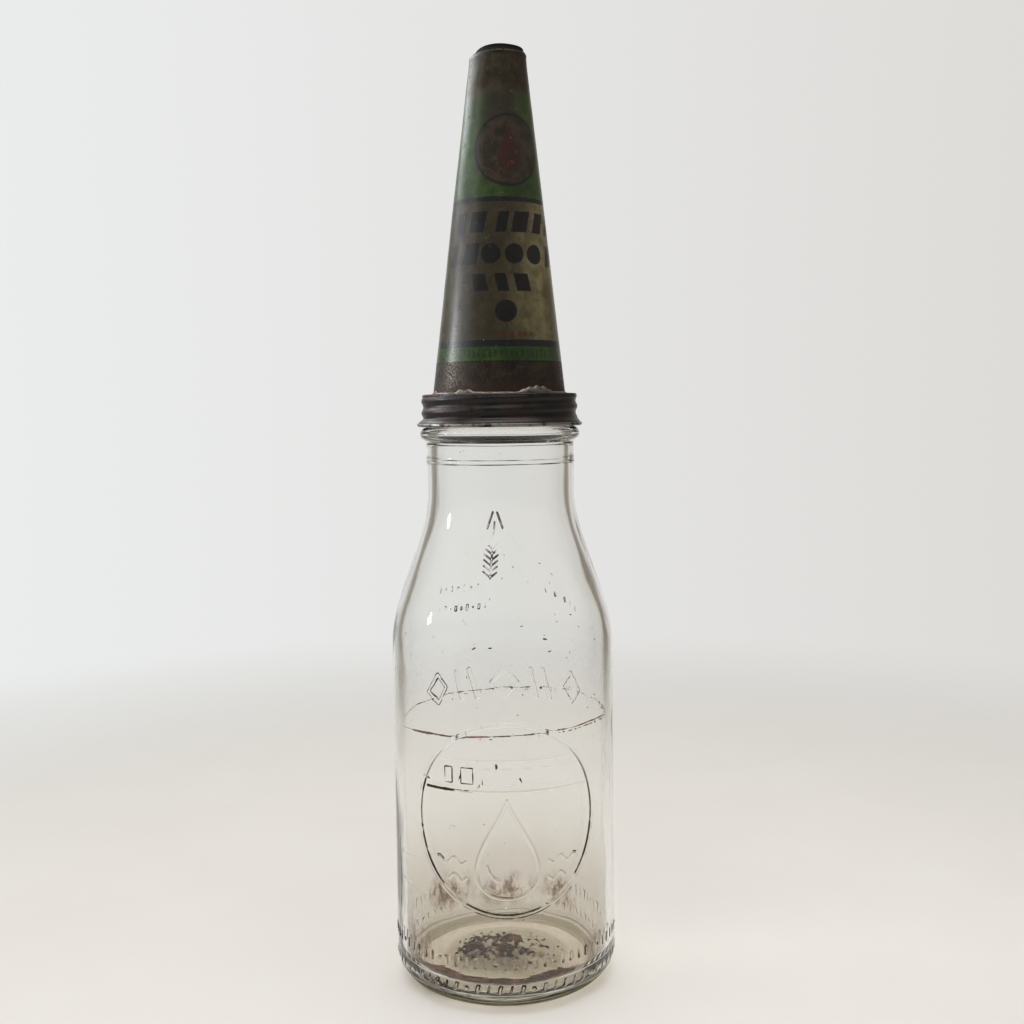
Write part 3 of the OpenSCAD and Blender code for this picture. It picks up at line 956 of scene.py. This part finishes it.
def cone_piece(material):
    """The cone's sheet, lapped at the back, leaning a little, dented and curled in at its mouth."""
    straight_top = CONE_TOP_Z - TIP_ROUND_H
    z_side = np.concatenate([[CONE_BASE_Z], CONE_BASE_Z + np.linspace(0.4, 1.0, 2),
                             np.linspace(CONE_BASE_Z + 2, straight_top, 112)])
    mouth_r, rim_r = 8.9, 0.7
    lift = np.linspace(0, 1, 9)[1:]
    round_z = straight_top + (TIP_ROUND_H - 2 * rim_r) * lift
    round_r = CONE_TIP_R - (CONE_TIP_R - mouth_r - 2 * rim_r) * lift ** 1.2
    curl = np.radians(np.linspace(20, 265, 14))
    outer = np.concatenate([
        np.stack([cone_r(z_side), z_side], -1),
        np.stack([round_r, round_z], -1),
        np.stack([mouth_r + rim_r + rim_r * np.cos(curl), CONE_TOP_Z - rim_r + rim_r * np.sin(curl)], -1)])
    inner = np.concatenate([np.stack([round_r - TIN - 0.1, round_z - 0.3], -1)[-3::-1],
                            np.stack([cone_r(z_side) - TIN, z_side], -1)[::-1]])
    side_rows = len(z_side)
    marks = np.linspace(0, 2 * math.pi, 240, endpoint=False)
    edges = [QUARTER + side * LAP_HALF + step for side in (-1, 1) for step in (-0.003, 0.003)]
    marks = np.sort(np.concatenate([marks, edges]))
    section = np.concatenate([outer, inner])
    points = []
    for angle in marks:
        r, z = section[:, 0].copy(), section[:, 1].copy()
        from_seam = abs(turned(angle - QUARTER))
        if from_seam < LAP_HALF:
            r[:side_rows] += TIN * (1 - ease(straight_top - 3, straight_top - 0.5, z[:side_rows]))
        p = polar(r, angle, z)
        sheet = ease(CONE_BASE_Z + 3, CONE_BASE_Z + 14, z)
        r = r + sheet * (0.16 * noise(p * (1, 1, 0.35), 15, 71) + 0.05 * noise(p, 6, 72))
        for degrees, height, reach, depth in DENTS:
            centre = polar(cone_r(height), math.radians(degrees) - QUARTER, height)
            r = r + depth * (1 - ease(0, reach, np.linalg.norm(p - centre, axis=-1)))
        # the mouth's left side was knocked down and its right side pushed in a little
        low = ease(straight_top, CONE_TOP_Z, z)
        leftness = max(0.0, -math.cos(angle - 0.2)) ** 2
        rightness = ease(-0.6, 0.7, math.cos(angle + 0.5))
        height = np.clip((z - straight_top) / TIP_ROUND_H, 0, 1)
        r = r * (1 - 0.12 * leftness * height ** 0.8)
        r = r + rightness * 1.1 * np.sqrt(height) * (1 - 0.45 * height)
        z = z - low * (0.5 * leftness + 0.5)
        points.append(np.stack([r * np.cos(angle) + cone_lean(z), r * np.sin(angle), z], -1))
    return make_piece("printed_cone", np.concatenate(points), ring_faces(len(marks), len(section)),
                      "pourer", material, ["pourer_cone"], sharp=48)


def foot_solder_piece(material):
    """The ragged run of solder that holds the cone on the collar, with its drips."""
    turn = np.radians(np.linspace(-12, 102, 9))
    lumps = ((-69, 0.8, 1.0), (-63, 1.5, 1.8), (-56, 1.7, 2.4), (-49, 1.6, 2.2), (-43, 0.9, 1.0),
             (-124, 1.3, 1.3), (-116, 1.1, 1.1), (20, 1.0, 1.2), (75, 1.6, 1.5), (82, 1.1, 1.0),
             (140, 1.2, 1.2), (200, 1.0, 1.1))

    def section(angle):
        leg = 0.75 + 0.22 * noise(around(angle), 4, 81) + 0.12 * noise(around(angle), 1.7, 82)
        tall = leg
        for centre, out, up in lumps:
            bulge = bell(turned(angle - math.radians(centre)) / 0.062)
            leg, tall = leg + out * 0.55 * bulge, tall + up * bulge
        leg = min(leg, foot_high[0] - CONE_BASE_R)
        r = CONE_BASE_R - 0.15 + (leg + 0.15) * np.cos(turn)
        z = COLLAR_TOP - 0.05 + tall * np.maximum(np.sin(turn), -0.05)
        r = r - CONE_SLOPE * (z - COLLAR_TOP)
        return np.append(r, CONE_BASE_R - 0.3), np.append(z, COLLAR_TOP - 0.05)

    return swept_piece("foot_solder", 300, section, "pourer", material, "collar_solder")


def seam_solder_piece(material):
    """A thin uneven bead of solder along the free edge of the lap."""
    rows, across = 150, 8
    start = QUARTER - LAP_HALF
    points = []
    heights = np.linspace(seam_low[2], seam_high[2], rows)
    for k, z in enumerate(heights):
        here = np.array([0, 40, z])
        wide = (0.055 + 0.012 * noise(here, 7, 91) + 0.008 * noise(here, 2.5, 92)) * 24 / cone_r(z)
        tall = 0.42 + 0.10 * noise(here, 4, 93)
        taper = min(1.0, (k + 0.6) / 4, (rows - k - 0.4) / 4)
        side = 0.16 * noise(np.array([0, cone_r(z), z]) * (1, 1, 0.35), 15, 71)
        for t in np.linspace(0, math.pi, across):
            a = start + 0.004 - wide * taper * (1 - math.cos(t)) / 2
            r = cone_r(z) + side - 0.12 + (0.12 + tall * taper) * math.sin(t) ** 0.8
            points.append((r * math.cos(a) + cone_lean(z), r * math.sin(a), z))
    faces = ring_faces(rows, across)[:-across]
    faces.append(list(range(across))[::-1])
    faces.append([(rows - 1) * across + j for j in range(across)])
    return make_piece("seam_solder_bead", np.array(points), faces, "pourer", material,
                      ["seam_solder"], sharp=60)


def gasket_piece(material):
    corner = np.radians(np.linspace(0, 90, 4))
    soft = 0.3  # radius of the ring's worn corners
    rise, run = soft * np.sin(corner), soft * np.cos(corner)
    low, high = gasket_low[2] + soft, gasket_high[2] - soft

    def section(angle):
        out = gasket_high[0] - 0.12 + 0.10 * noise(around(angle), 2.2, 101) - soft
        inn = BORE_R - 0.5 + 0.15 * noise(around(angle), 2.6, 102) + soft
        return (np.concatenate([out + run, inn - rise, inn - run, out + rise]),
                np.concatenate([high + rise, high + run, low - rise, low - run]))

    return swept_piece("cork_washer", 220, section, "gasket", material, "gasket")


# ---- dried oil on the glass's inside

FILM_GAP = 0.03  # between a film and the glass, so that they don't share a surface


def edged(field, value=-1.0):
    """The field with its outermost rows and columns lowered, so that a film ends inside it."""
    field[[0, -1]] = value
    field[:, [0, -1]] = value
    return field


def film(name, a, b, field, surface, material, thickness):
    """A closed film wherever field is above 0, on a lattice of a and b. surface(a, b, inset) gives
    points; the film's edge follows the field's zero line and it is thickest where field is high."""
    index, points, depth = {}, [], []

    def corner(i, j):
        key = (i, j)
        if key not in index:
            index[key] = len(points)
            points.append((a[i], b[j]))
            depth.append(max(0.0, field[i, j]))
        return index[key]

    def crossing(p, q):
        key = (p, q) if p < q else (q, p)
        if key not in index:
            (i0, j0), (i1, j1) = key
            t = min(0.97, max(0.03, field[i0, j0] / (field[i0, j0] - field[i1, j1])))
            index[key] = len(points)
            points.append((a[i0] * (1 - t) + a[i1] * t, b[j0] * (1 - t) + b[j1] * t))
            depth.append(0.0)
        return index[key]

    faces = []
    busy = field > 0
    touched = busy[:-1, :-1] | busy[1:, :-1] | busy[:-1, 1:] | busy[1:, 1:]
    for i, j in zip(*np.nonzero(touched)):
        i, j = int(i), int(j)
        loop = [(i, j), (i + 1, j), (i + 1, j + 1), (i, j + 1)]
        out = []
        for k in range(4):
            p, q = loop[k], loop[(k + 1) % 4]
            if busy[p]:
                out.append(corner(*p))
            if busy[p] != busy[q]:
                out.append(crossing(p, q))
        if len(out) > 2:
            faces.append(out)
    pa, pb = np.array(points).T
    deep = np.array(depth)
    under = surface(pa, pb, np.full(len(pa), FILM_GAP))
    over = surface(pa, pb, FILM_GAP + thickness * np.sqrt(np.clip(deep, 0, 1)))
    edge = deep <= 0
    number = np.where(edge, np.arange(len(pa)), np.cumsum(~edge) - 1 + len(pa))
    everything = np.concatenate([under, over[~edge]])
    lower = [f[::-1] for f in faces]
    upper = [[int(number[v]) for v in f] for f in faces]
    upper = [f for f, g in zip(upper, faces) if f != g]
    lower = [f for f, g in zip(lower, faces) if [int(number[v]) for v in g] != g]
    return make_piece(name, everything, lower + upper, "bottle", material)


def on_wall(angle, z, inset):
    """Points on the inner wall. angle is from the front."""
    t = angle - QUARTER
    r = wall_r(z)
    return polar(r + wave_inner(polar(r, t, z)) * calm(z) - inset, t, z)


def on_outside(row, column, lift):
    """Points on the outer wall, at fractional lattice rows and columns."""
    r0 = np.clip(np.floor(row).astype(int), 0, outer_rows - 2)
    c0 = np.floor(column).astype(int)
    fr, fc = row - r0, column - c0
    c0, c1 = c0 % COLUMNS, (c0 + 1) % COLUMNS
    raised = ((relief[r0, c0] * (1 - fc) + relief[r0, c1] * fc) * (1 - fr)
              + (relief[r0 + 1, c0] * (1 - fc) + relief[r0 + 1, c1] * fc) * fr)
    base = outer_profile[r0] * (1 - fr)[:, None] + outer_profile[r0 + 1] * fr[:, None]
    t = column * 2 * math.pi / COLUMNS
    push = raised + wave_outer(polar(base[:, 0], t, base[:, 1])) * calm(base[:, 1]) + lift
    r, z = (base + push[:, None] * profile_normal[r0]).T
    return polar(r, t, z)


def mark_dirt(material):
    """Old dirt caught along the edges of the moulded marks, broken and uneven."""
    steep = np.clip(np.hypot(*np.gradient(relief)) / 0.10, 0, 1.15)
    angle = turned(angles + QUARTER)[None, :] + 0 * outer_r
    # where the dirt is thick: angle from the front, height, reach of each, strength
    places = (
        (-0.06, 186, 0.16, 9, 0.36), (-0.06, 204, 0.16, 6, 0.50), (-0.40, 172, 0.30, 9, 0.50),
        (0.60, 171, 0.30, 8, 0.40), (-0.40, 100, 0.20, 5, 0.55), (-0.62, 94, 0.34, 4, 0.42),
        (-0.80, 60, 0.25, 16, 0.40),
        (0.85, 64, 0.2, 18, 0.42), (0.0, 44, 0.5, 5, 0.30), (-0.2, 12, 0.9, 5, 0.40),
        (0.9, 20, 0.5, 6, 0.46), (-1.0, 20, 0.5, 6, 0.46), (-2.35, 119, 0.25, 8, 0.50))
    amount = np.full(steep.shape, 0.08)
    for centre, height, wide, tall, strength in places:
        near = np.exp(-((turned(angle - centre) / wide) ** 2) - ((outer_z - height) / tall) ** 2)
        amount = np.maximum(amount, strength * near)
    spot = polar(outer_r, angles, V)
    field = steep * (amount + 0.42) - 0.62 + 0.34 * noise(spot, 2.6, 141) + 0.12 * noise(spot, 0.8, 142)
    wanted = (steep > 0.25) & (amount > 0.12) & (outer_z < 236) & (outer_z > 4)
    field = np.where(wanted & (outer_r > MARK_MIN_R), field, -0.4)
    ring = np.maximum(0.20 - np.abs(outer_z - 226.9), 0.13 - np.abs(outer_z - 228.7))
    ring = ring + 0.10 * noise(spot, 5, 143) - 0.4 * ease(0.75, 1.25, np.abs(angle))
    field = np.maximum(field, np.where(np.abs(outer_z - 228) < 2, ring, -0.4))
    field[:, [0, -1]] = -1
    return film("mark_dirt", np.arange(outer_rows, dtype=float), np.arange(COLUMNS, dtype=float),
                field, on_outside, material, 0.05)


def floor_height(r):
    rows = inner_profile[inner_profile[:, 1] < inner_heel_c[1]]
    order = np.argsort(rows[:, 0])
    return np.interp(r, rows[order][:, 0], rows[order][:, 1])


def on_floor(x, y, inset):
    return np.stack([x, y, floor_height(np.hypot(x, y)) + inset], -1)


def lattice(a, b):
    return np.meshgrid(a, b, indexing="ij")


def tide_line(material):
    """The line that the oil left when it dried, tilted a little, beaded and thicker at the front."""
    a = np.linspace(-math.pi, math.pi, 1000)
    b = np.linspace(112.5, 122.5, 96)
    angle, z = lattice(a, b)
    t = angle - QUARTER
    spot = polar(IN_R, t, z)
    level = 117.0 + 0.045 * spot[..., 0] + 0.35 * noise(spot * (1, 1, 0), 9, 111)
    strong = 0.55 * bell(turned(angle + 0.62) / 0.32) + 0.25 * bell(turned(angle - 1.1) / 0.4)
    width = 0.20 + 0.26 * noise(spot * (1, 1, 0), 3.2, 112) + 0.12 * noise(spot * (1, 1, 0), 1.1, 113)
    width = width + strong * 0.35 - 0.10 * ease(1.4, 1.9, np.abs(turned(angle)))
    field = width - np.abs(z - level) + 0.12 * noise(spot, 0.8, 114)
    second = 0.16 + 0.5 * noise(spot * (1, 1, 0.5), 0.9, 116) - np.abs(z - level + 1.1) * 0.8
    field = np.maximum(field, second - 0.35 + 0.3 * ease(0.1, 0.9, angle) * (angle < 1.6))
    drips = 0.6 * noise(spot * (1, 1, 0.12), 1.5, 115) - 0.36 - 0.12 * np.maximum(0, level - z)
    field = np.maximum(field, np.where(z < level, drips * (0.4 + strong), -1))
    field = np.where((z < b[1]) | (z > b[-2]), -1, field)
    return film("tide_line", a, b, field, on_wall, material, 0.25)


def oil_and_shade_veils(material):
    """The thin veil of old oil on the lower wall and the floor inside, and under the heel outside; on the
    floor and the heel its tint is painted shade for the shadow under the base.
    """
    a, b = np.linspace(-math.pi, math.pi, 361), np.linspace(9.0, 84.0, 90)
    film("wall_veil", a, b, edged(np.full((361, 90), 0.5), -0.01), on_wall, material, 0.08)
    # the floor and heel films darken what is seen through the base: painted shade for the shadow that the
    # glass doesn't cast
    a = b = np.linspace(-42, 42, 100)
    x, y = lattice(a, b)
    film("floor_oil_and_shade", a, b, 0.02 * (40.5 - np.hypot(x, y)), on_floor, material, 0.08)
    low = marked_rows(0.2, 6.5)
    a, b = low[outer_r[low, 0] > foot_r].astype(float), np.arange(0.0, COLUMNS + 1, 4)
    film("heel_oil_and_shade", a, b, edged(np.full((len(a), len(b)), 0.5), -0.01), on_outside, material, 0.08)


def floor_flakes(material):
    """A close network of dark flakes on the bottle's floor, a little to the left."""
    a = np.linspace(-30, 26, 300)
    b = np.linspace(-24, 28, 280)
    x, y = lattice(a, b)
    spot = np.stack([x, y * 0.55, 0 * x], -1)
    patch = 0.72 * np.exp(-(((x + 2.5) / 19.5) ** 2 + ((y - 2) / 15) ** 2) ** 1.6)
    field = patch - 0.60 + 0.70 * rough_noise(spot, 1.25, 2, 131) + 0.26 * noise(spot, 6, 133)
    return film("floor_flakes", a, b, edged(field), on_floor, material, 0.9)


def dregs(material):
    """The rusty band of dregs where the floor turns up into the heel, along the front."""
    a = np.linspace(-43, 43, 330)
    b = np.linspace(-43, 10, 200)
    x, y = lattice(a, b)
    r = np.hypot(x, y)
    spot = np.stack([x, y, 0 * x], -1)
    middle = 33.5 + 5.0 * ease(15, 42, -x) + 0.8 * noise(spot, 12, 134)
    ends = 1 - ease(-20, -6, y + 0.12 * x + 2 * noise(spot, 9, 135))
    band = 1.35 * bell((r - middle) / 6.2) * ends
    field = band - 0.66 + 0.55 * rough_noise(spot * (0.5, 1, 1), 2.4, 3, 136) + 0.25 * noise(spot, 8, 137)
    field = field + 0.22 * noise(spot, 0.9, 138)
    field = np.where((r > 42.4) | (y > b[-2]), -1, field)
    return film("floor_dregs", a, b, field, on_floor, material, 0.35)


def specks(material):
    """Small dry specks on the inside of the wall, each a flat irregular crumb."""
    places = [(-0.75, 97.0, 1.0), (-0.40, 99.5, 0.9), (-0.06, 104.5, 1.0), (0.16, 98.5, 0.9),
              (-0.25, 153, 0.6), (0.40, 156, 0.7), (-0.10, 153.3, 0.6), (0.44, 151, 0.5),
              (-0.22, 96.2, 0.5)]
    for _ in range(150):
        z = float(rng.choice([rng.uniform(12, 60), rng.uniform(60, 235), rng.uniform(118, 170)]))
        places.append((rng.uniform(-math.pi, math.pi), z, rng.uniform(0.12, 0.42)))
    points, faces = [], []
    corners = 9
    for angle, z, size in places:
        base = len(points)
        turn = np.linspace(0, 2 * math.pi, corners, endpoint=False)
        reach = size * rng.uniform(0.55, 1.15, corners)
        r = float(wall_r(z))
        tilt = size * 40 + z
        along, wide = reach * np.cos(turn) * 1.7, reach * np.sin(turn) * 0.55
        across = along * math.sin(tilt) + wide * math.cos(tilt)
        aa, zz = angle + across / r, z + along * math.cos(tilt) - wide * math.sin(tilt)
        points += on_wall(aa, zz, np.full(corners, 0.05)).tolist()
        points += on_wall(np.full(2, angle), np.full(2, z), np.array([0.05, 0.12 + size * 0.22])).tolist()
        for k in range(corners):
            m = (k + 1) % corners
            faces.append([base + k, base + m, base + corners + 1])
            faces.append([base + m, base + k, base + corners])
    return make_piece("oil_specks", np.array(points), faces, "bottle", material)


# ---- build everything

points, faces = glass_mesh()
bottle = make_piece("glass_bottle", points, faces, "bottle", glass_material(), ["bottle"])
bottle.visible_shadow = False
solder = solder_material()
tin_pieces = [collar_piece(collar_material()), cone_piece(printed_material()),
              foot_solder_piece(solder), seam_solder_piece(solder)]
gasket_piece(cork_material())
crust = residue_material("dried_oil", (0.010, 0.006, 0.003), (0.060, 0.028, 0.011),
                         (0.170, 0.062, 0.017), 0.5)
tide = residue_material("oil_tide", (0.060, 0.034, 0.018), (0.180, 0.105, 0.055),
                        (0.330, 0.160, 0.065), 0.5)
flakes = residue_material("oil_flakes", (0.005, 0.003, 0.002), (0.034, 0.019, 0.008),
                          (0.110, 0.052, 0.018), 0.35)
dirt = residue_material("mark_grime", (0.018, 0.013, 0.009), (0.060, 0.045, 0.030),
                        (0.110, 0.060, 0.030), 0.2)
tide_line(tide)
oil_and_shade_veils(haze_material())
floor_flakes(flakes)
dregs(crust)
specks(flakes)
mark_dirt(dirt)


# ---- stage, light and camera

def stage_floor():
    """A pale floor that fades into the backdrop well behind the object."""
    mesh = bpy.data.meshes.new("floor")
    steps = 96
    ring = polar(3.0, 2 * math.pi * np.arange(steps) / steps, 0.0)
    mesh.from_pydata(ring.tolist(), [], [list(range(steps))])
    g = Graph("pale_floor")
    cloth = g.noise(60, 4, 0.5, seed=201)
    g.set(Base_Color=g.mix(cloth, (0.82, 0.79, 0.75), (0.86, 0.835, 0.80)), Roughness=0.9,
          Specular_IOR_Level=0.1)
    g.blended(g.rise(250, 850, g.reach(g.x, g.y)), g.shader, g.add("ShaderNodeBsdfTransparent"))
    mesh.materials.append(g.material)
    floor = placed("floor", mesh)
    floor.location = (0, 0, -0.0002)


def studio_world():
    """A plain backdrop: pale behind the object, dim to both sides so that glass edges read dark."""
    world = bpy.data.worlds.new("studio")
    bpy.context.scene.world = world
    world.use_nodes = True
    nodes, links = world.node_tree.nodes, world.node_tree.links

    def chain(kind, first, second=None, **settings):
        node = nodes.new(kind)
        for key, value in settings.items():
            setattr(node, key, value)
        links.new(first, node.inputs[0])
        if second is not None:
            links.new(second, node.inputs[1])
        return node

    split = chain("ShaderNodeSeparateXYZ", nodes.new("ShaderNodeTexCoord").outputs["Generated"])
    turn = chain("ShaderNodeMath", split.outputs[0], split.outputs[1], operation="ARCTAN2")
    turn = chain("ShaderNodeMath", turn.outputs[0], operation="ABSOLUTE")
    turn = chain("ShaderNodeMath", turn.outputs[0], operation="DIVIDE")
    turn.inputs[1].default_value = math.pi
    ramp = chain("ShaderNodeValToRGB", turn.outputs[0])
    ramp.color_ramp.interpolation = "EASE"
    stops = ((22.5, (1.0, 1.0, 1.0)), (35, (0.33, 0.30, 0.25)), (62, (0.29, 0.275, 0.245)),
             (95, (0.42, 0.41, 0.39)), (180, (0.24, 0.235, 0.22)))
    for k, (degrees, colour) in enumerate(stops):
        stop = ramp.color_ramp.elements[k] if k < 2 else ramp.color_ramp.elements.new(1.0)
        stop.position = degrees / 180
        stop.color = (*colour, 1)
    across = chain("ShaderNodeMapRange", split.outputs[0])
    across.inputs["From Min"].default_value = -0.38
    across.inputs["From Max"].default_value = 0.38
    wash = chain("ShaderNodeMix", across.outputs[0], data_type="RGBA")
    wash.inputs[6].default_value = (0.83, 0.845, 0.84, 1)
    wash.inputs[7].default_value = (0.73, 0.715, 0.695, 1)
    both = nodes.new("ShaderNodeMix")
    both.data_type, both.blend_type = "RGBA", "MULTIPLY"
    both.inputs[0].default_value = 1.0
    links.new(wash.outputs[2], both.inputs[6])
    links.new(ramp.outputs[0], both.inputs[7])
    links.new(both.outputs[2], nodes["Background"].inputs["Color"])
    nodes["Background"].inputs["Strength"].default_value = 1.0


def softbox(name, place, aim, size, power, colour=(1, 1, 1), only=()):
    """A soft elliptical lamp. only holds the pieces that it lights, where it isn't all of them."""
    data = bpy.data.lights.new(name, "AREA")
    data.shape = "ELLIPSE"
    data.size, data.size_y = size
    data.energy = power
    data.color = colour
    light = placed(name, data)
    light.location = place
    light.rotation_mode = "QUATERNION"
    light.rotation_quaternion = (Vector(aim) - Vector(place)).to_track_quat("-Z", "Y")
    light.visible_camera = False
    light.visible_transmission = False
    if only:
        lit = bpy.data.collections.new(name + "_lights")
        for piece in only:
            lit.objects.link(piece)
        light.light_linking.receiver_collection = lit


def camera():
    """A camera at the photo's viewing angle: in front, tilted down a little and turned a touch."""
    view_deg, down_deg, turn_deg = 44.87, 4.83, -0.71
    data = bpy.data.cameras.new("camera")
    data.sensor_width = 36.0
    data.lens = data.sensor_width / 2 / math.tan(math.radians(view_deg / 2))
    data.clip_start, data.clip_end = 0.01, 20
    cam = placed("camera", data)
    tilt = (Matrix.Rotation(math.radians(90 - down_deg), 4, "X")
            @ Matrix.Rotation(math.radians(turn_deg), 4, "Z"))
    cam.matrix_world = Matrix.Translation((0.0049, -0.5406, 0.2505)) @ tilt
    bpy.context.scene.camera = cam


stage_floor()
studio_world()
softbox("window_high", (-1.05, 0.78, 1.16), (0, 0, 0.35), (1.35, 0.90), 15, (0.92, 0.98, 1.0), tin_pieces)
softbox("window_low", (-1.2, 0.12, 0.40), (0, 0, 0.30), (0.24, 0.36), 5.0, (0.95, 0.98, 1.0), tin_pieces)
softbox("room", (-1.14, -0.42, 0.55), (0, 0, 0.30), (0.75, 0.95), 2.0, (0.96, 0.98, 1.0), tin_pieces)
softbox("low_pane", (-1.12, -0.14, 0.44), (0, 0, 0.2), (0.12, 0.15), 0.7, (0.95, 0.98, 1.0))
softbox("high_pane", (-1.00, -0.25, 1.02), (0, 0, 0.15), (0.05, 0.16), 0.4, (0.95, 0.98, 1.0))
softbox("top", (0.0, -0.15, 1.10), (0, 0.05, 0), (0.9, 0.9), 9)
camera()

scene = bpy.context.scene
scene.view_settings.view_transform = "Standard"
scene.cycles.max_bounces = 24
scene.cycles.transmission_bounces = 20
scene.cycles.glossy_bounces = 8
scene.cycles.diffuse_bounces = 3
scene.cycles.transparent_max_bounces = 16
scene.cycles.sample_clamp_indirect = 8.0
